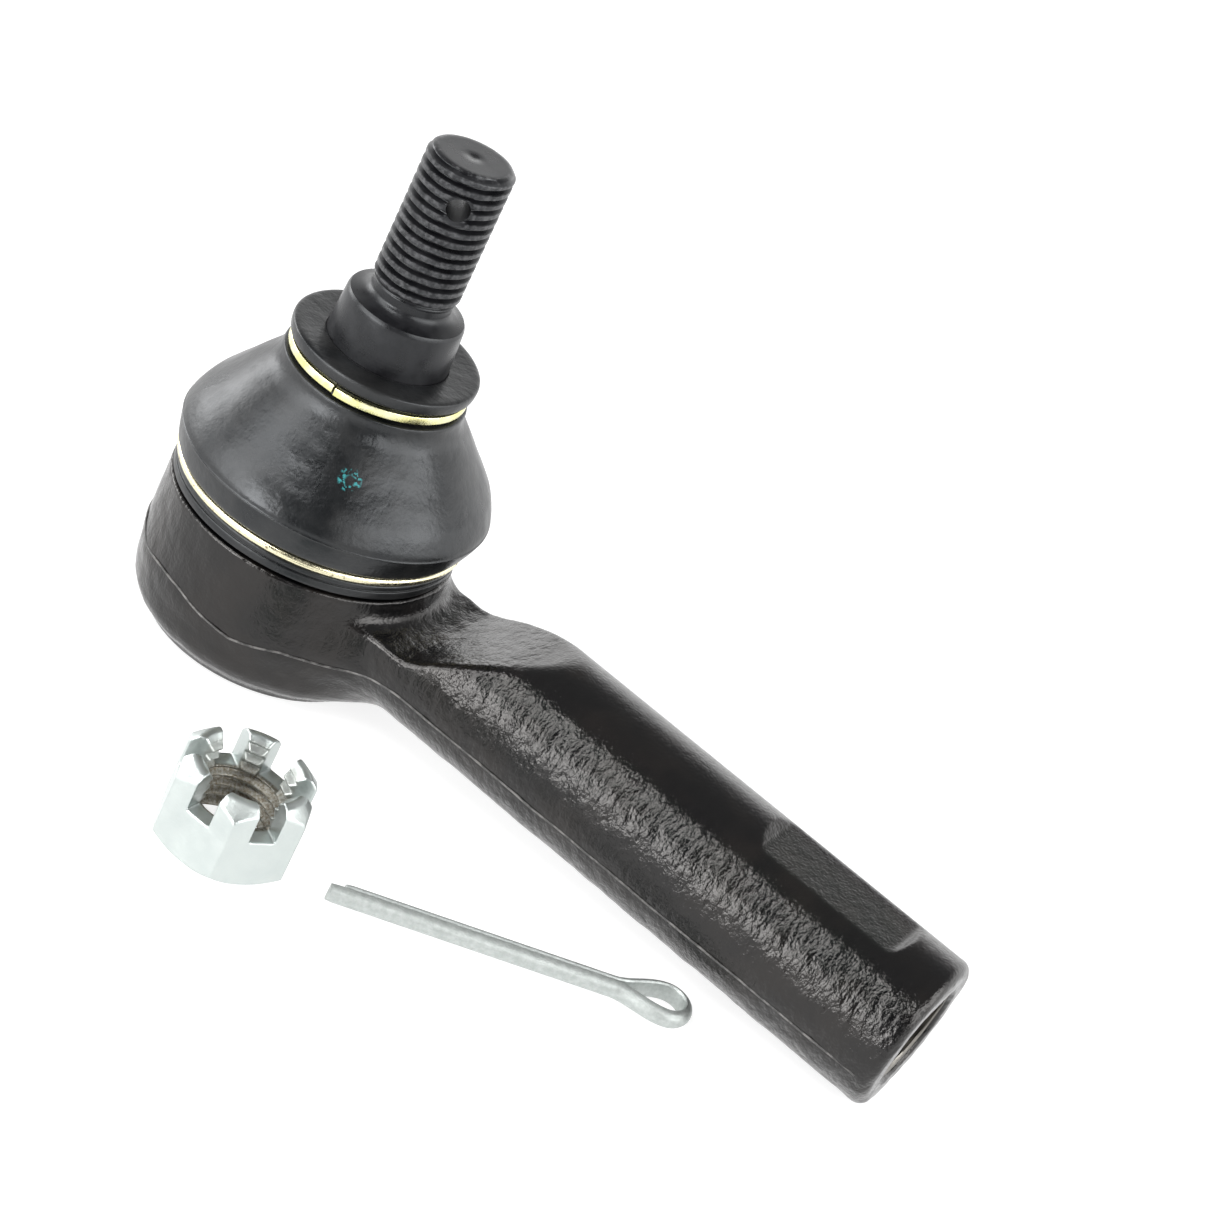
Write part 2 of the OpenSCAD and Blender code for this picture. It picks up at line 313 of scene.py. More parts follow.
def shank_frame(p):
    """Distance along the shank from the ball's centre, and height over its axis."""
    x, z = p[:, 0], p[:, 2] - ball_h
    return x * math.cos(droop) - z * math.sin(droop), x * math.sin(droop) + z * math.cos(droop)


def forging(p):
    """Signed distance in millimetres to the housing's surface."""
    r = np.hypot(p[:, 0], p[:, 1])
    y, z = p[:, 1], p[:, 2]
    t, h = shank_frame(p)
    head = outline_gap(r, z, head_outline) - head_edge
    shank = cut(np.hypot(y, h) - shank_r, np.abs(t - shank_len / 2) - shank_len / 2, end_round)
    for side in (1, -1):
        rise = side * h - flat_h
        start = (flat_start - t) * math.sin(flat_run_in) - rise * math.cos(flat_run_in)
        end = (t - flat_end) * math.sin(flat_run_out) - rise * math.cos(flat_run_out)
        flat = cut(cut(-rise, start, start_edge), end, end_edge)
        shank = cut(shank, -flat, flat_edge)
    floor_x, floor_z = zip(*saddle_line)
    saddle = (z - np.interp(p[:, 0], floor_x, floor_z)) * saddle_share
    arm = cut(shank, saddle, saddle_edge)
    fillet = np.interp(z, (web_top, saddle_low), (web_fillet, saddle_fillet))
    body = joined(head, arm, fillet)
    ledge = np.maximum(head_top - z, r - boot_ledge_r)
    body = cut(body, -ledge, ledge_edge)
    body = np.minimum(body, outline_gap(r, z, neck_outline) - neck_edge)
    body = np.maximum(body, -outline_gap(r, z, cavity_outline))
    drilled = np.maximum(np.hypot(y, h) - tap_r, (shank_len - tap_depth) - t)
    mouth = np.hypot(y, h) - mouth_r - (t - shank_len)
    return cut(body, -np.minimum(drilled, mouth), hole_edge)


def netted(shape, low, high, cell):
    """Vertices and faces of the surface where shape is zero: one vertex to each grid cell, pulled onto it."""
    counts = [int(math.ceil((b - a) / cell)) + 1 for a, b in zip(low, high)]
    lines = [a + cell * np.arange(n) for a, n in zip(low, counts)]
    inside = np.zeros(counts, bool)
    for i, x in enumerate(lines[0]):
        sheet = np.stack(np.meshgrid([x], lines[1], lines[2], indexing="ij"), -1).reshape(-1, 3)
        inside[i] = (shape(sheet) < 0).reshape(counts[1:])
    corners = sum(inside[i:counts[0] - 1 + i, j:counts[1] - 1 + j, k:counts[2] - 1 + k].astype(np.int8)
                  for i in (0, 1) for j in (0, 1) for k in (0, 1))
    crossed = (corners > 0) & (corners < 8)
    number = np.full(crossed.shape, -1)
    number[crossed] = np.arange(crossed.sum())
    places = (np.argwhere(crossed) + 0.5) * cell + np.array(low)
    pulls = 6
    for _ in range(pulls):
        places -= np.clip(shape(places), -cell / 2, cell / 2)[:, None] * facing(shape, places)
    faces = []
    for axis in range(3):
        u, v = (axis + 1) % 3, (axis + 2) % 3
        start = np.take(inside, range(counts[axis] - 1), axis)
        end = np.take(inside, range(1, counts[axis]), axis)
        edges = np.argwhere(start != end)
        off_low = (edges[:, u] > 0) & (edges[:, v] > 0)
        off_high = (edges[:, u] < counts[u] - 1) & (edges[:, v] < counts[v] - 1)
        edges = edges[off_low & off_high]
        ring = []
        for back_u, back_v in ((1, 1), (0, 1), (0, 0), (1, 0)):
            beside = edges.copy()
            beside[:, u] -= back_u
            beside[:, v] -= back_v
            ring.append(number[tuple(beside.T)])
        quads = np.stack(ring, 1)
        outward = start[tuple(edges.T)]
        faces.append(np.where(outward[:, None], quads, quads[:, ::-1]))
    return places, np.concatenate(faces)


def facing(shape, places, step=0.02):
    """Unit direction straight out of the surface at each place."""
    slopes = [shape(places + offset) - shape(places - offset) for offset in np.eye(3) * step]
    slopes = np.stack(slopes, -1)
    return slopes / np.maximum(np.linalg.norm(slopes, axis=1), 1e-9)[:, None]


def piece(name, places, faces, finish, body, slot, *nodes, sharp=None):
    """Smooth object from places in millimetres, faces outward, that rides a body and replaces CAD nodes."""
    mesh = bpy.data.meshes.new(name)
    mesh.from_pydata((np.asarray(places) * mm).tolist(), [], [list(face) for face in faces])
    mesh.validate()
    skin = bmesh.new()
    skin.from_mesh(mesh)
    if skin.calc_volume(signed=True) < 0:
        mesh.flip_normals()
    skin.free()
    mesh.shade_smooth()
    if sharp:
        mesh.set_sharp_from_angle(angle=math.radians(sharp))
    made = bpy.data.objects.new(name, mesh)
    made.data.materials.append(finish.material)
    bpy.context.collection.objects.link(made)
    if body:
        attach(made, body)
    if nodes:
        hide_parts(*nodes)
    return made


def lumps(places, size, seed):
    """Smooth noise between about -1 and 1 at each place, with lumps of the given size."""
    shift = Vector((seed, -seed, 2 * seed))
    return np.array([noise.noise(Vector(place) / size + shift) for place in places])


coat = Finish("black_coat_on_forging")
where = coat.place()
peel = coat.grain(coat.stretched(where, (1, 0.55, 0.55)), 1.0 * mm, 3, 0.55)
peel_depth = 0.3
scale_pits = coat.grain(where, 0.4 * mm, 3, 0.55)
pit_depth = 0.06
drift = coat.grain(where, 9 * mm, 2)
deep_black = (0.0022, 0.0022, 0.0025)
brown_black = (0.006, 0.005, 0.0046)
sides = coat.node("ShaderNodeSeparateXYZ")
coat.wire(where, sides.inputs[0])
on_shank = coat.remap(sides.outputs["X"], 14 * mm, 34 * mm, 0.35, 1.0)
axis_fall = coat.math("MULTIPLY", sides.outputs["X"], math.tan(droop))
axis_height = coat.math("ADD", sides.outputs["Z"], axis_fall)
off_axis = coat.math("ABSOLUTE", coat.math("SUBTRACT", axis_height, ball_h * mm), 0.0)
on_round = coat.remap(off_axis, (flat_h - 1.6) * mm, (flat_h - 0.4) * mm, 1.0, 0.25)
rough_share = coat.math("MULTIPLY", on_shank, on_round)
coat.bumps((coat.math("MULTIPLY", peel, rough_share), peel_depth * mm), (scale_pits, pit_depth * mm))
coat.paint(coat.mixed(coat.remap(drift, 0.4, 0.65), deep_black, brown_black),
           coat.remap(peel, 0.3, 0.7, 0.12, 0.22))
coat.constant(Specular_IOR_Level=0.5, Specular_Tint=(1.0, 0.975, 0.955, 1))

forge_low = (-21.4, -21.4, -0.8)
forge_high = (108.4, 21.4, 26.6)
forge_cell = 0.42
forge_places, forge_faces = netted(forging, forge_low, forge_high, forge_cell)
machined_r = 17.5
below_ledge = forge_places[:, 2] < head_top - 0.3
off_neck = np.hypot(forge_places[:, 0], forge_places[:, 1]) > machined_r
forged_skin = below_ledge & off_neck
swell = 0.11 * lumps(forge_places, 5.0, 3) + 0.07 * lumps(forge_places, 1.9, 7)
forge_places += facing(forging, forge_places) * (swell * forged_skin)[:, None]
piece("housing_forging", forge_places, forge_faces, coat, "housing", "coated_forging", "housing")


# ---- Flash line: the thin ridge that the forging dies leave where they meet ----
# It is trimmed close and coated over with the housing, and rubbed paler along its crest.
flash_heights = [(45, 9.7), (55, 9.8), (65, 9.2), (75, 8.7), (87, 9.2), (101, 10.2), (113, 10.3),
                 (129, 9.8), (150, 10.6), (180, 10.4)]
flash_drop = 3.1
flash_r = 0.17
flash_wander = 0.22
flash_dark = (0.025, 0.024, 0.023)
flash_pale = (0.12, 0.115, 0.11)


def surface_from(origin, direction, reach):
    """Outermost place where a ray from inside leaves the forging."""
    steps = np.linspace(0, reach, 400)
    path = np.array(origin) + steps[:, None] * np.array(direction)
    values = forging(path)
    last = np.nonzero(values < 0)[0][-1]
    share = values[last] / (values[last] - values[last + 1])
    return path[last] + (path[last + 1] - path[last]) * share


def flash_path(side):
    """Places along the flash line, from behind the head to the shank's end, on one side of it."""
    turns, heights = zip(*flash_heights)
    path = []
    for turn in np.arange(180, 44, -2.5):
        a = math.radians(turn)
        h = float(np.interp(turn, turns, heights))
        path.append(surface_from((0, 0, h), (math.cos(a), side * math.sin(a), 0), 30))
    for x in np.arange(16.5, shank_len - 1.8, 1.2):
        share = min(max((x - 15) / 12, 0), 1)
        shank_side = ball_h - x * math.tan(droop) - flash_drop
        z = heights[0] + (shank_side - heights[0]) * share * share * (3 - 2 * share)
        path.append(surface_from((x, 0, z), (0, side, 0), 30))
    path = np.array(path)
    path[:, 2] += flash_wander * lumps(path, 6.0, 5 + side)
    return path


def lathe(rings, close_ends=True):
    """Skin over rings of equal counts of places, each ring joined to the next."""
    count = len(rings[0])
    last = (len(rings) - 1) * count
    faces = []
    for start in range(0, last, count):
        for k in range(count):
            beside = (k + 1) % count
            faces.append((start + k, start + beside, start + count + beside, start + count + k))
    if close_ends:
        faces += [tuple(range(count))[::-1], tuple(range(last, last + count))]
    return np.concatenate(rings), faces


def cord_mesh(path, radius, sides=8):
    """Tube of the given radius along a path, closed at both ends."""
    path = np.asarray(path, float)
    ahead = np.gradient(path, axis=0)
    ahead /= np.linalg.norm(ahead, axis=1)[:, None]
    across = np.cross(ahead, (0, 0, 1))
    across /= np.linalg.norm(across, axis=1)[:, None]
    up = np.cross(across, ahead)
    turns = np.arange(sides) * 2 * math.pi / sides
    rings = [[p + radius * (math.cos(a) * s + math.sin(a) * u) for a in turns]
             for p, s, u in zip(path, across, up)]
    return lathe(rings)


flash = Finish("rubbed_flash_line")
worn = flash.grain(flash.place(), 1.6 * mm, 4, 0.6)
flash.bumps((flash.grain(flash.place(), 0.4 * mm), 0.05 * mm))
flash.paint(flash.mixed(flash.remap(worn, 0.42, 0.62), flash_dark, flash_pale))
flash.constant(Roughness=0.4, Specular_IOR_Level=0.6)
for side, name in ((-1, "flash_line_near"), (1, "flash_line_far")):
    piece(name, *cord_mesh(flash_path(side), flash_r), flash, "housing", "coated_forging")


# ---- Shank thread: M14 x 1.5, tapped in the blind hole after the housing was coated ----
# So it is bare oiled steel, and it begins just behind the chamfer at the hole's mouth.
tap_pitch = 1.5
tap_crest_r = 6.2
tap_wall = 0.25
tap_step = 0.15


def thread_wave(turns, crest=0.14, root=0.1):
    """0 on a crest and 1 in a root, for a place counted in pitches."""
    tooth = np.abs(2 * (turns - np.floor(turns)) - 1)
    return np.clip((tooth - crest) / (1 - crest - root), 0, 1)


def turned_ring(radius, height, count):
    """Ring of places about +Z; radius may be a number or one value for each place."""
    a = np.arange(count) * 2 * math.pi / count
    return np.stack([radius * np.cos(a), radius * np.sin(a), np.full(count, float(height))], 1)


tap_sides = 96
tap_top = shank_len - 0.5
tap_angles = np.arange(tap_sides) * 2 * math.pi / tap_sides
tap_back = shank_len - tap_depth + 0.5
tap_rings = [turned_ring(tap_r + tap_wall, t, tap_sides) for t in (tap_back, tap_top)]
for t in np.arange(tap_top, tap_back, -tap_step):
    wave = thread_wave(t / tap_pitch - tap_angles / (2 * math.pi))
    tap_rings.append(turned_ring(tap_crest_r + (tap_r - tap_crest_r) * wave, t, tap_sides))
tap_rings.append(tap_rings[0])
tap_places, tap_faces = lathe(tap_rings, close_ends=False)
tilt = np.array(Matrix.Rotation(math.pi / 2 + droop, 3, "Y"))
tap_places = tap_places @ tilt.T + np.array([0, 0, ball_h])

bare = Finish("bare_tapped_steel")
swirl = bare.grain(bare.place(), 1.2 * mm, 3)
bare.bumps((bare.grain(bare.place(), 0.25 * mm), 0.02 * mm))
bare.paint(bare.mixed(swirl, (0.12, 0.115, 0.105), (0.3, 0.285, 0.26)),
           bare.remap(swirl, 0.3, 0.7, 0.28, 0.45))
bare.constant(Metallic=1.0)
piece("shank_thread", tap_places, tap_faces, bare, "housing", "coated_forging", sharp=40)


# ---- Cover plate, spring washer and ball seats: shut in the head, so they keep their solids' shape ----
# The cover is pressed steel, the washer blued spring steel and the seats moulded acetal resin. The
# head's rolled lip holds the cover, which loads the washer and the seats against the ball.
def dressed(node, finish):
    """Gives a carried-over CAD node its finish."""
    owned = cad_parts[node]
    owned.data.materials.clear()
    owned.data.materials.append(finish.material)


pressing = Finish("coated_pressed_steel")
draw_marks = pressing.grain(pressing.place(), 0.5 * mm, 3)
pressing.bumps((draw_marks, 0.05 * mm))
pressing.paint(pressing.mixed(draw_marks, (0.02, 0.02, 0.022), (0.055, 0.053, 0.05)),
               pressing.remap(draw_marks, 0.3, 0.7, 0.3, 0.5))
dressed("cover_plate", pressing)

spring = Finish("blued_spring_steel")
bluing = spring.grain(spring.place(), 3 * mm, 3)
spring.bumps((spring.grain(spring.place(), 0.3 * mm), 0.02 * mm))
spring.paint(spring.mixed(bluing, (0.12, 0.13, 0.17), (0.3, 0.29, 0.28)),
             spring.remap(bluing, 0.3, 0.7, 0.25, 0.4))
spring.constant(Metallic=1.0)
dressed("preload_washer", spring)

resin = Finish("natural_acetal_resin")
greased = resin.grain(resin.place(), 4 * mm, 2)
resin.bumps((resin.grain(resin.place(), 0.3 * mm), 0.015 * mm))
resin.paint(resin.mixed(greased, (0.74, 0.69, 0.56), (0.6, 0.52, 0.36)),
            resin.remap(greased, 0.3, 0.7, 0.22, 0.4))
resin.constant(Subsurface_Weight=0.08, Subsurface_Radius=(0.001, 0.0008, 0.0005))
dressed("upper_ball_seat", resin)
dressed("lower_ball_seat", resin)


# ---- Ball stud: turned from bar, ball burnished, thread rolled, then phosphated dark grey ----
# A cotter pin hole is drilled across the thread and leaves the crests round its mouth pressed flat.
thread_r = 6.0
thread_pitch = 1.5
thread_depth = 0.82
thread_crest = 0.46
thread_root = 0.08
thread_low = 56.3
run_out = 1.1
run_out_depth = 0.45
chamfer_start = 0.75
chamfer_slope = 0.95
pressed_r = 2.35
pressed_fade = 0.6
pressed_fill = 0.25
pressed_depth = 0.28
ring_low = 55.35
ring_high = 76.35
ring_gap = 0.075
stud_top = 76.5
taper_r = 8.19
taper_slope = 1 / 16
shoulder_h = 53.7
hole_h = 71.3
hole_r = 1.6
hole_turn = math.radians(-56)
stud_sides = 160
stud_angles = np.arange(stud_sides) * 2 * math.pi / stud_sides
ball_r = 10.86
stud_outline = [(5.62, 55.15), (5.85, 54.75), (6.3, 54.4), (6.9, 54.17), (7.5, 54.04), (7.95, 53.94),
                (8.15, 53.6)]


def thread_ring(start):
    """Turn of the rolled thread, climbing with it from a height, kept between run-out and chamfer."""
    z = np.clip(start + thread_pitch * stud_angles / (2 * math.pi), ring_low, ring_high)
    wave = thread_wave(z / thread_pitch - stud_angles / (2 * math.pi), thread_crest, thread_root)
    fade = np.clip((z - thread_low) / run_out, 0, 1)
    core = thread_r - thread_depth * wave * fade - run_out_depth * (1 - fade)
    for opposite in (0, math.pi):
        around = np.abs((stud_angles - hole_turn - opposite + math.pi) % (2 * math.pi) - math.pi) * thread_r
        near = np.clip((pressed_r - np.hypot(around, z - hole_h)) / pressed_fade, 0, 1)
        core = core * (1 - near) + np.minimum(core + pressed_fill, thread_r - pressed_depth) * near
    core = np.minimum(core, thread_r - chamfer_slope * np.maximum(z - stud_top + chamfer_start, 0))
    return np.stack([core * np.cos(stud_angles), core * np.sin(stud_angles), z], 1)


stud_rings = [turned_ring(0.02, stud_top - 0.2, stud_sides), turned_ring(0.7, stud_top - 0.1, stud_sides)]
stud_rings += [turned_ring(r, stud_top - 0.05 + 0.05 * r / 5, stud_sides) for r in (0.9, 2, 3.2, 4.4, 4.9)]
stud_rings += [turned_ring(5.12, stud_top - 0.04, stud_sides)]
above_thread = len(stud_rings)
thread_rings = round((ring_high - ring_low + thread_pitch) / ring_gap) + 1
stud_rings += [thread_ring(ring_high - i * ring_gap) for i in range(thread_rings)]
stud_rings += [turned_ring(r, z, stud_sides) for r, z in stud_outline]
stud_rings += [turned_ring(taper_r + (shoulder_h - z) * taper_slope, z, stud_sides)
               for z in np.linspace(53.3, 39, 16)]
stud_rings += [turned_ring(r, z, stud_sides) for r, z in ((9.0, 37.2), (7.3, 32), (6.85, 30.5), (6.85, 25.2))]
for lift in np.arange(50, -64, -3.0):
    a = math.radians(lift)
    stud_rings.append(turned_ring(ball_r * math.cos(a), ball_h + ball_r * math.sin(a), stud_sides))
stud_rings += [turned_ring(4.3, ball_h - 10.1, stud_sides), turned_ring(4.0, ball_h - 9.4, stud_sides),
               turned_ring(0.02, ball_h - 9.4, stud_sides)]
stud_places, stud_faces = lathe(stud_rings[::-1])

# The last column joins the first one a full turn up, since each ring climbs by one pitch.
turn_rings = round(thread_pitch / ring_gap)
thread_end = len(stud_rings) - 1 - above_thread
thread_start = thread_end - thread_rings + 1
for i in range(thread_start, thread_end):
    here, there = (min(i + step + turn_rings, thread_end) * stud_sides for step in (0, 1))
    stud_faces[(i + 1) * stud_sides - 1] = ((i + 1) * stud_sides - 1, here, there, (i + 2) * stud_sides - 1)

phosphate = Finish("dark_phosphate")
where = phosphate.place()
fine = phosphate.grain(where, 0.22 * mm, 3)
cloud = phosphate.grain(where, 2.5 * mm, 3)
lathe_marks = phosphate.grain(phosphate.stretched(where, (40, 40, 5000)), 1.0, 2)
spread = phosphate.node("ShaderNodeSeparateXYZ")
phosphate.wire(where, spread.inputs[0])
radius = phosphate.math("SQRT", phosphate.math("ADD", phosphate.math("POWER", spread.outputs["X"], 2.0),
                        phosphate.math("POWER", spread.outputs["Y"], 2.0)), 0.0)
# The thread crests are painted a paler grey, partly rubbed wear and partly a painted highlight where the
# crests catch the light. The top rim gets paler scuffs.
on_thread = phosphate.remap(spread.outputs["Z"], (thread_low - 0.4) * mm, (thread_low + 0.6) * mm)
crest = phosphate.remap(radius, (thread_r - 0.2) * mm, (thread_r - 0.02) * mm)
rub_and_glint_marks = phosphate.remap(phosphate.grain(where, 0.6 * mm, 4), 0.35, 0.75)
rubbed_and_highlit = phosphate.math("MULTIPLY", phosphate.math("MULTIPLY", crest, on_thread), rub_and_glint_marks)
rim = phosphate.math("MULTIPLY", phosphate.remap(radius, 4.6 * mm, 5.0 * mm),
                     phosphate.remap(spread.outputs["Z"], (stud_top - 0.7) * mm, (stud_top - 0.1) * mm))
scuff_marks = phosphate.remap(phosphate.grain(where, 1.4 * mm, 4, 0.7), 0.5, 0.62)
scuffed = phosphate.math("MULTIPLY", rim, scuff_marks)
rubbed_and_highlit = phosphate.math("MAXIMUM", rubbed_and_highlit, scuffed)
phosphate.bumps((fine, 0.01 * mm), (lathe_marks, 0.01 * mm))
dark_grey = phosphate.mixed(phosphate.remap(cloud, 0.35, 0.7), (0.005, 0.005, 0.006), (0.012, 0.012, 0.0135))
rubbed_and_highlight_grey = (0.07, 0.07, 0.073)
phosphate.paint(phosphate.mixed(rubbed_and_highlit, dark_grey, rubbed_and_highlight_grey), phosphate.remap(cloud, 0.3, 0.7, 0.26, 0.38))
phosphate.constant(Metallic=0.05, Specular_IOR_Level=0.42, Specular_Tint=(0.95, 0.98, 1.0, 1))
stud = piece("ball_stud_steel", stud_places, stud_faces, phosphate, None, "phosphated_steel", "ball_stud")

# Where the climbing rings are held level at both ends they lie on each other, and are merged.
merge_gap = 0.0005
stud_mesh = bmesh.new()
stud_mesh.from_mesh(stud.data)
bmesh.ops.remove_doubles(stud_mesh, verts=stud_mesh.verts, dist=merge_gap * mm)
stud_mesh.to_mesh(stud.data)
stud_mesh.free()
stud.data.set_sharp_from_angle(angle=math.radians(38))

drill_reach = 9
drill_sides = 40
drill_places, drill_faces = lathe([turned_ring(hole_r, z, drill_sides) for z in (-drill_reach, drill_reach)])
drill_turn = np.array(Matrix.Rotation(hole_turn, 3, "Z") @ Matrix.Rotation(math.pi / 2, 3, "Y"))
drill_mesh = bpy.data.meshes.new("drill")
drill_places = drill_places @ drill_turn.T + np.array([0, 0, hole_h])
drill_mesh.from_pydata((drill_places * mm).tolist(), [], drill_faces)
drill = bpy.data.objects.new("drill", drill_mesh)
bpy.context.collection.objects.link(drill)
drilled = stud.modifiers.new("cotter_hole", "BOOLEAN")
drilled.operation = "DIFFERENCE"
drilled.solver = "EXACT"
drilled.object = drill
bpy.context.view_layer.update()
drilled_mesh = bpy.data.meshes.new_from_object(stud.evaluated_get(bpy.context.evaluated_depsgraph_get()))
stud.modifiers.clear()
stud.data = drilled_mesh
bpy.data.objects.remove(drill)
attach(stud, "stud")


# ---- Dust boot: moulded rubber, its foot clipped on the head's neck and its collar on the stud ----
# A moulding line rings the bulge, a broken dab of inspection paint sits on the cone, and the
# wall is a little wavy and bulges out on one side.
boot_outer = [(20.05, 20.75), (20.3, 21.0), (20.32, 21.9), (20.12, 22.05), (20.12, 22.2), (20.3, 22.35),
              (20.3, 22.85), (20.0, 23.1), (19.4, 23.25), (19.4, 24.35), (20.0, 24.55), (20.75, 24.7),
              (21.05, 25.2), (21.3, 26.3), (21.5, 27.4), (21.6, 28.25), (21.7, 28.4), (21.58, 28.56),
              (21.45, 29.2), (21.1, 30.0), (20.6, 31.0), (20.0, 32.0), (19.2, 33.1), (18.3, 34.3),
              (17.35, 35.5), (16.4, 36.8), (15.5, 38.0), (14.65, 39.1), (13.9, 40.1), (13.35, 41.1),
              (13.05, 42.0), (12.95, 42.7), (12.75, 43.0), (11.9, 43.1), (11.68, 43.25), (11.68, 45.15),
              (11.9, 45.3), (12.7, 45.35), (12.98, 45.55), (13.1, 46.2), (13.1, 46.85), (12.9, 47.12),
              (12.4, 47.22), (11.3, 47.2), (10.2, 47.16), (9.4, 47.12), (8.9, 47.1), (8.66, 47.06)]
boot_inner = [(8.7, 46.4), (8.82, 44.5), (9.0, 42.2), (10.6, 41.0), (12.3, 38.6), (14.0, 36.4),
              (16.2, 33.4), (18.4, 31.0), (19.7, 29.4), (19.85, 28.2), (19.6, 26.6), (17.9, 25.7),
              (17.42, 25.2), (17.42, 20.75)]
boot_sides = 144
lean_out = 0.75
lean_turn = 0.2


def smoothed(outline, steps):
    """Points on a smooth curve through an outline's points."""
    points = np.array([outline[0]] + list(outline) + [outline[-1]], float)
    curve = []
    for a, b, c, d in zip(points, points[1:], points[2:], points[3:]):
        for s in np.arange(steps) / steps:
            curve.append(0.5 * (2 * b + (c - a) * s + (2 * a - 5 * b + 4 * c - d) * s ** 2
                                + (3 * b - a - 3 * c + d) * s ** 3))
    return curve + [points[-1]]


boot_angles = np.arange(boot_sides) * 2 * math.pi / boot_sides
boot_rings = []
for r, z in smoothed(boot_outer, 3) + smoothed(boot_inner, 2):
    sag = np.clip((z - 29) / 4, 0, 1) * np.clip((41 - z) / 3, 0, 1)
    wobble = sag * (0.12 * np.sin(2 * boot_angles + 0.6) + 0.07 * np.sin(5 * boot_angles + z / 6))
    lean = (lean_out * np.clip((z - 25) / 3, 0, 1) * np.clip((40 - z) / 8, 0, 1)
            * np.maximum(np.cos(boot_angles - lean_turn), 0) ** 2)
    boot_rings.append(turned_ring(r + wobble + lean, z, boot_sides))
boot_rings.append(boot_rings[0])
boot_places, boot_faces = lathe(boot_rings[::-1], close_ends=False)

rubber = Finish("moulded_black_rubber")
where = rubber.place("moulded_place")
bloom = rubber.grain(where, 7 * mm, 4, 0.6)
skin = rubber.grain(where, 0.35 * mm, 3)
handling = rubber.grain(rubber.stretched(where, (1, 1, 0.25)), 3.2 * mm, 3)
dab_centre = Vector((9.3, -14.3, 36.0)) * mm
from_dab = rubber.node("ShaderNodeVectorMath", operation="DISTANCE")
from_dab.inputs[1].default_value = dab_centre
rubber.wire(where, from_dab.inputs[0])
speckle = rubber.remap(rubber.grain(where, 0.6 * mm, 3, 0.6), 0.52, 0.6)
ring_in = rubber.remap(from_dab.outputs["Value"], 0.4 * mm, 0.9 * mm)
ring_out = rubber.remap(from_dab.outputs["Value"], 1.35 * mm, 1.75 * mm, 1.0, 0.0)
dab = rubber.math("MULTIPLY", rubber.math("MULTIPLY", ring_in, ring_out), speckle)
rubber.bumps((skin, 0.018 * mm), (bloom, 0.25 * mm))
black = rubber.mixed(rubber.remap(bloom, 0.38, 0.66), (0.003, 0.0035, 0.004), (0.012, 0.012, 0.012))
teal = (0.03, 0.21, 0.22)
dulled = rubber.remap(bloom, 0.3, 0.7, 0.26, 0.36)
handled = rubber.remap(handling, 0.4, 0.7, 0.0, 0.07)
rubber.paint(rubber.mixed(dab, black, teal), rubber.math("ADD", dulled, handled))
rubber.constant(Specular_IOR_Level=0.5, Specular_Tint=(0.94, 0.97, 1.0, 1))
boot = piece("rubber_boot", boot_places, boot_faces, rubber, None, "boot_rubber", "dust_boot")
rest_places = boot.data.attributes.new("moulded_place", "FLOAT_VECTOR", "POINT")
rest_places.data.foreach_set("vector", np.array([v.co for v in boot.data.vertices]).ravel())
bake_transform(boot)


# ---- Boot clips: a flat split band at the collar and a closed round wire at the foot ----
# Both are spring steel, the band yellow passivated over zinc and the wire plated a paler gold. Each
# is snapped over the rubber into its groove; the band's two ends meet a little out of line.
band_in_r = 11.72
band_out_r = 12.62
band_low = 43.62
band_high = 44.82
band_round = 0.14
band_steps = 120
step_spread = 0.5
step_out = 0.12
step_down = 0.16
split_turn = math.radians(-84.5)
split_width = math.radians(1.7)
wire_r = 0.64
wire_ring_r = 20.14
wire_h = 23.8


def swept_band(start, end, step_at, count):
    """Open ring of rounded rectangular section that sits slightly proud and lower near one turn."""
    corners = [(band_in_r, band_low, 1, 1), (band_out_r, band_low, -1, 1),
               (band_out_r, band_high, -1, -1), (band_in_r, band_high, 1, -1)]
    section = []
    for index, (r, z, into_r, into_z) in enumerate(corners):
        for turn in (0, 45, 90):
            a = math.radians(180 + 90 * index + turn)
            section.append((r + into_r * band_round + band_round * math.cos(a),
                            z + into_z * band_round + band_round * math.sin(a)))
    rings = []
    for a in np.linspace(start, end, count):
        step = math.exp(-((a - step_at) / step_spread) ** 2)
        out = step_out * step
        down = step_down * step
        rings.append([((r + out) * math.cos(a), (r + out) * math.sin(a), z - down) for r, z in section])
    return lathe([np.array(ring) for ring in rings[::-1]])


yellow = Finish("yellow_chromate")
where = yellow.place()
tint = yellow.grain(where, 2.2 * mm, 3)
yellow.bumps((yellow.grain(where, 0.3 * mm, 3), 0.03 * mm))
yellow.paint(yellow.mixed(yellow.remap(tint, 0.35, 0.65), (0.8, 0.76, 0.34), (0.93, 0.9, 0.6)),
             yellow.remap(tint, 0.3, 0.7, 0.2, 0.36))
yellow.constant(Metallic=1.0)
band_start = split_turn + split_width / 2
band_end = split_turn + 2 * math.pi - split_width / 2
piece("upper_clip_band", *swept_band(band_start, band_end, band_start, band_steps),
      yellow, "stud_carrier", "yellow_zinc", "upper_boot_clip", sharp=50)

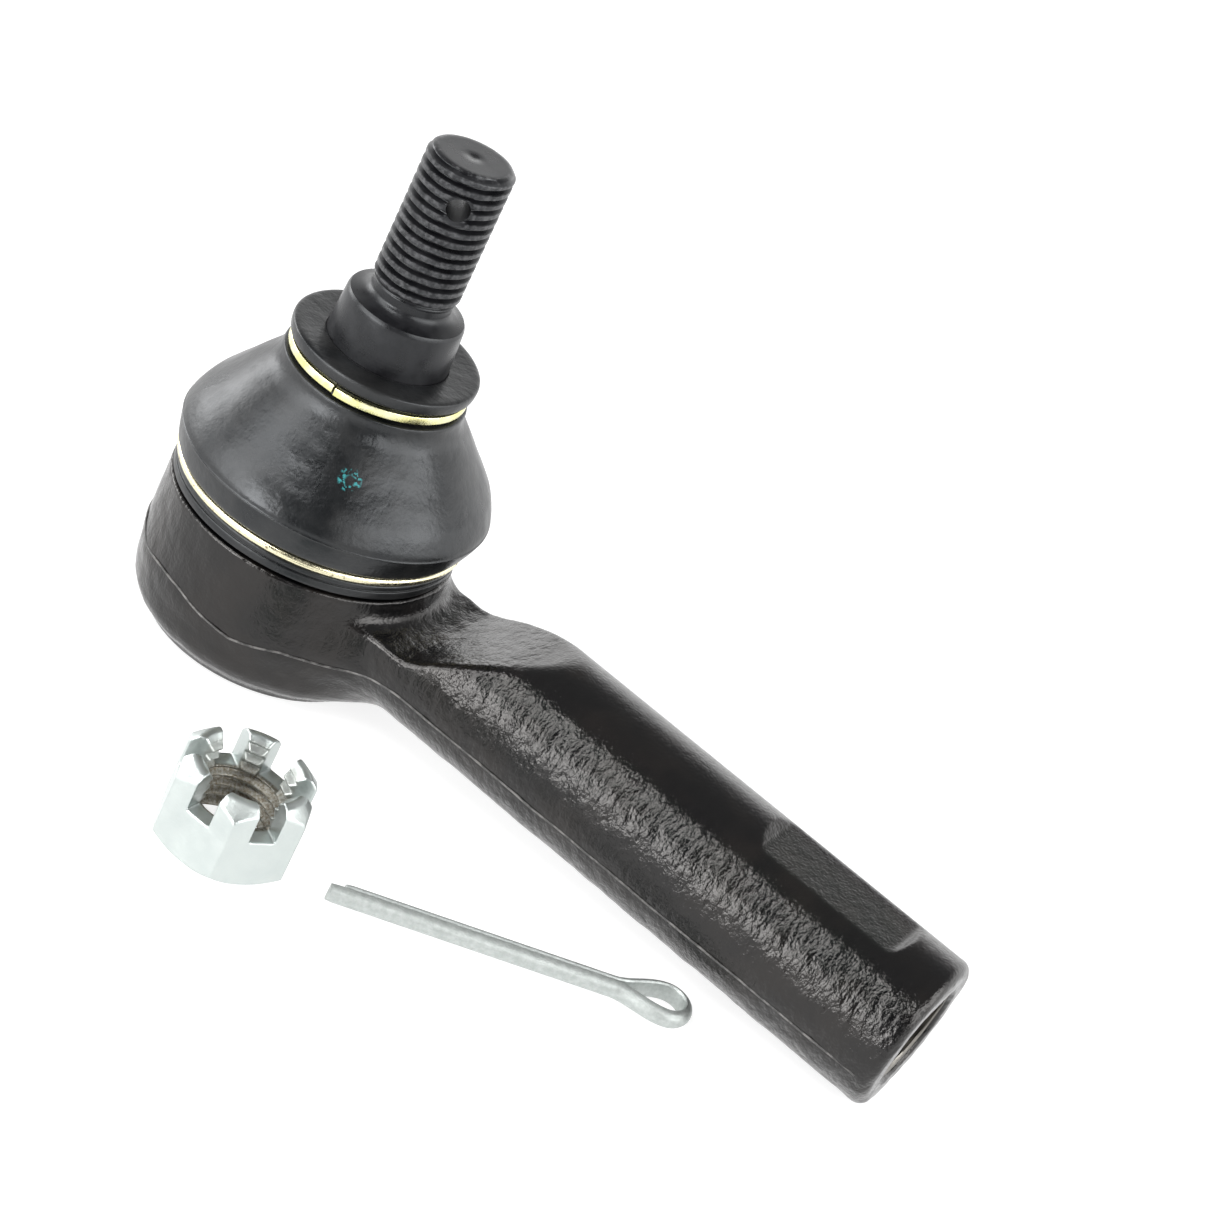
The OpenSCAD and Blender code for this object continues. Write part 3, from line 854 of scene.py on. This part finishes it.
gilt = Finish("pale_gold_plate")
where = gilt.place()
specks = gilt.grain(where, 0.8 * mm, 4, 0.65)
gilt.bumps((gilt.grain(where, 0.25 * mm), 0.02 * mm))
gilt.paint(gilt.mixed(gilt.remap(specks, 0.56, 0.68), (0.86, 0.8, 0.56), (0.24, 0.2, 0.12)),
           gilt.remap(specks, 0.4, 0.7, 0.16, 0.4))
gilt.constant(Metallic=1.0)
wire_sides = 16
wire_wobble = 0.04
around = np.arange(wire_sides) * 2 * math.pi / wire_sides
wire_rings = []
for a in np.arange(180) * math.radians(2):
    reach = wire_ring_r + wire_r * np.cos(around) + wire_wobble * math.sin(3 * a)
    height = wire_h + wire_r * np.sin(around)
    wire_rings.append(np.stack([reach * math.cos(a), reach * math.sin(a), height], 1))
wire_rings.append(wire_rings[0])
wire_places, wire_faces = lathe(wire_rings[::-1], close_ends=False)
piece("lower_clip_wire", wire_places, wire_faces, gilt, "boot", "clip_wire", "lower_boot_clip")


# ---- Castle nut: cold-formed steel hexagon, tapped M12 x 1.5 and bright zinc plated ----
# Six slots cut in its crown take the cotter pin. It lies loose beside the joint, with dark
# soil left in the thread, painted stronger further down the bore as painted shade.
nut_low, nut_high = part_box("castle_nut")
nut_centre = np.array([(nut_low[0] + nut_high[0]) / 2, (nut_low[1] + nut_high[1]) / 2, 0]) / mm
nut_turn = math.radians(-2)
nut_half = 8.5
nut_h = 12.0
nut_bore_r = 5.3
nut_root_r = 6.1
nut_pitch = 1.5
slot_half = 1.8
slot_floor = 7.0
nut_crest = 0.12
nut_root = 0.1
nut_edge = 0.3
foot_r = 8.35
foot_edge = 0.15
crown_r = 7.7
crown_edge = 0.25
lead_in_foot_r = 6.4
lead_in_crown_r = 6.8
bore_edge = 0.06
slot_edge = 0.3
slot_rim = 0.22


def nut_shape(p):
    """Signed distance in millimetres to the nut's surface, standing on z = 0 about its own axis."""
    x, y, z = p.T
    r = np.hypot(x, y)
    turn = np.arctan2(y, x)
    flats = [x * math.cos(a) + y * math.sin(a) - nut_half for a in np.radians([30, 90, 150, 210, 270, 330])]
    body = flats[0]
    for flat in flats[1:]:
        body = np.maximum(body, flat)
    body = cut(body, np.abs(z - nut_h / 2) - nut_h / 2, nut_edge)
    body = cut(body, (r - foot_r) * 0.6 - z * 0.8, foot_edge)
    body = cut(body, (r - crown_r + z - nut_h) * 0.7071, crown_edge)
    wave = thread_wave(z / nut_pitch - turn / (2 * math.pi), nut_crest, nut_root)
    hole = r - (nut_bore_r + (nut_root_r - nut_bore_r) * wave)
    lead_in = np.minimum(r - lead_in_foot_r + z, r - lead_in_crown_r - (z - nut_h))
    body = cut(body, -np.minimum(hole * 0.75, lead_in * 0.7), bore_edge)
    slots = np.full(r.shape, 1e9)
    for a in np.radians([30, 90, 150]):
        slots = np.minimum(slots, np.abs(-x * math.sin(a) + y * math.cos(a)) - slot_half)
    return cut(body, -cut(slots, slot_floor - z, slot_edge), slot_rim)


nut_cell = 0.17
nut_dents = 0.025
nut_places, nut_faces = netted(nut_shape, (-10.2, -10.2, -0.4), (10.2, 10.2, 12.5), nut_cell)
nut_places += facing(nut_shape, nut_places) * (nut_dents * lumps(nut_places, 2.2, 9))[:, None]
nut_spin = np.array(Matrix.Rotation(nut_turn, 3, "Z"))
nut_places = nut_places @ nut_spin.T + nut_centre

zinc = Finish("bright_zinc_plate")
where = zinc.place()
from_axis = zinc.node("ShaderNodeVectorMath", operation="DISTANCE")
flatten = zinc.node("ShaderNodeMapping")
flatten.inputs["Scale"].default_value = (1, 1, 0)
zinc.wire(where, flatten.inputs["Vector"])
zinc.wire(flatten.outputs["Vector"], from_axis.inputs[0])
from_axis.inputs[1].default_value = Vector(nut_centre) * mm
in_bore = zinc.remap(from_axis.outputs["Value"], 6.0 * mm, 6.5 * mm, 1.0, 0.0)
plate_cloud = zinc.grain(where, 2.8 * mm, 4, 0.6)
dirt = zinc.grain(where, 0.35 * mm, 4, 0.65)
nut_place = zinc.node("ShaderNodeSeparateXYZ")
zinc.wire(where, nut_place.inputs[0])
# The brown grows stronger further down the bore. This is painted shade in the recess, laid over the soil.
deeper_shade = zinc.remap(nut_place.outputs["Z"], 6.5 * mm, 9.5 * mm, 1.0, 0.35)
soil_and_bore_shade = zinc.math("MULTIPLY", in_bore, zinc.math("MULTIPLY", deeper_shade, zinc.remap(dirt, 0.3, 0.7, 0.55, 1.0)))
zinc.bumps((zinc.grain(where, 0.4 * mm, 3), 0.03 * mm), (zinc.grain(where, 1.5 * mm, 2), 0.05 * mm))
plate = zinc.mixed(plate_cloud, (0.5, 0.55, 0.54), (0.62, 0.66, 0.64))
soil_and_shade_brown = (0.15, 0.12, 0.08)
plate_rough = zinc.remap(plate_cloud, 0.3, 0.7, 0.28, 0.44)
plate_dulled = zinc.math("ADD", plate_rough, zinc.math("MULTIPLY", soil_and_bore_shade, 0.15))
zinc.paint(zinc.mixed(soil_and_bore_shade, plate, soil_and_shade_brown), plate_dulled)
zinc.constant(Metallic=0.92)
piece("castle_nut_zinc", nut_places, nut_faces, zinc, "castle_nut", "bright_zinc", "castle_nut")


# ---- Cotter pin: half-round drawn steel wire, folded back on itself round an open eye ----
# The two flat faces lie together along the legs, one leg a little shorter. It is dull zinc
# plated and lies loose on the floor, not yet bent.
pin_r = 1.4
pin_len = 49.6
pin_eye_r = 2.3
pin_gap = 0.03
pin_short = 2.0
pin_tip_size = 0.93
pin_dents = 0.008
pin_turn = math.radians(32.5)
pin_tip = np.array([40.6, -38.8, pin_r])
pin_eye_x = pin_len - pin_eye_r - pin_r
pin_fork_x = pin_eye_x - 7.5


def pin_path():
    """Flat inner face of the wire, from one tip round the eye to the other tip."""
    spread = [(pin_fork_x + s * (pin_eye_x - pin_fork_x),
               pin_gap + (pin_eye_r - pin_gap) * s * s * (3 - 2 * s))
              for s in np.linspace(0, 1, 22)]
    leg = [(x, pin_gap) for x in np.linspace(0, pin_fork_x - 0.6, 40)]
    round_eye = [(pin_eye_x + pin_eye_r * math.cos(a), pin_eye_r * math.sin(a))
                 for a in np.radians(np.arange(-84, 85, 6))]
    near = [(x, -y) for x, y in leg + spread]
    far = [(x, y) for x, y in spread[::-1] + leg[::-1] if x > pin_short]
    return np.array(near + round_eye + far + [(pin_short, pin_gap)])


pin_section = [(math.cos(a), math.sin(a)) for a in np.radians(np.linspace(-80, 80, 15))]
pin_section = [(0.0, -0.8), (0.03, -0.88)] + pin_section + [(0.03, 0.88), (0.0, 0.8)]
path = pin_path()
ways = np.gradient(path, axis=0)
ways /= np.linalg.norm(ways, axis=1)[:, None]
pin_rings = []
tips = [pin_tip_size] + [1.0] * (len(path) - 2) + [pin_tip_size]
for (x, y), (way_x, way_y), size in zip(path, ways, tips):
    pin_rings.append(np.array([(x + way_y * out * pin_r * size,
                                y - way_x * out * pin_r * size,
                                up * pin_r * size)
                               for out, up in pin_section]))
pin_rings[1:1] = [pin_rings[1] * 0.9 + pin_rings[0] * 0.1]
pin_places, pin_faces = lathe(pin_rings)
pin_outward = facing(lambda p: np.hypot(p[:, 1], p[:, 2]), pin_places)
pin_places += pin_outward * (pin_dents * lumps(pin_places, 1.8, 4))[:, None]
pin_spin = np.array(Matrix.Rotation(pin_turn, 3, "Z"))
pin_places = pin_places @ pin_spin.T + pin_tip

wire = Finish("dull_zinc_on_drawn_wire")
where = wire.place()
drawn = wire.grain(wire.stretched(where, (1, 1, 3)), 0.5 * mm, 4, 0.6)
patina = wire.grain(where, 0.7 * mm, 4, 0.6)
wire.bumps((drawn, 0.035 * mm))
wire.paint(wire.mixed(wire.remap(patina, 0.3, 0.7), (0.42, 0.45, 0.435), (0.52, 0.55, 0.535)),
           wire.remap(drawn, 0.3, 0.7, 0.4, 0.55))
wire.constant(Metallic=0.82)
piece("cotter_pin_wire", pin_places, pin_faces, wire, "cotter_pin", "dull_zinc", "cotter_pin", sharp=50)
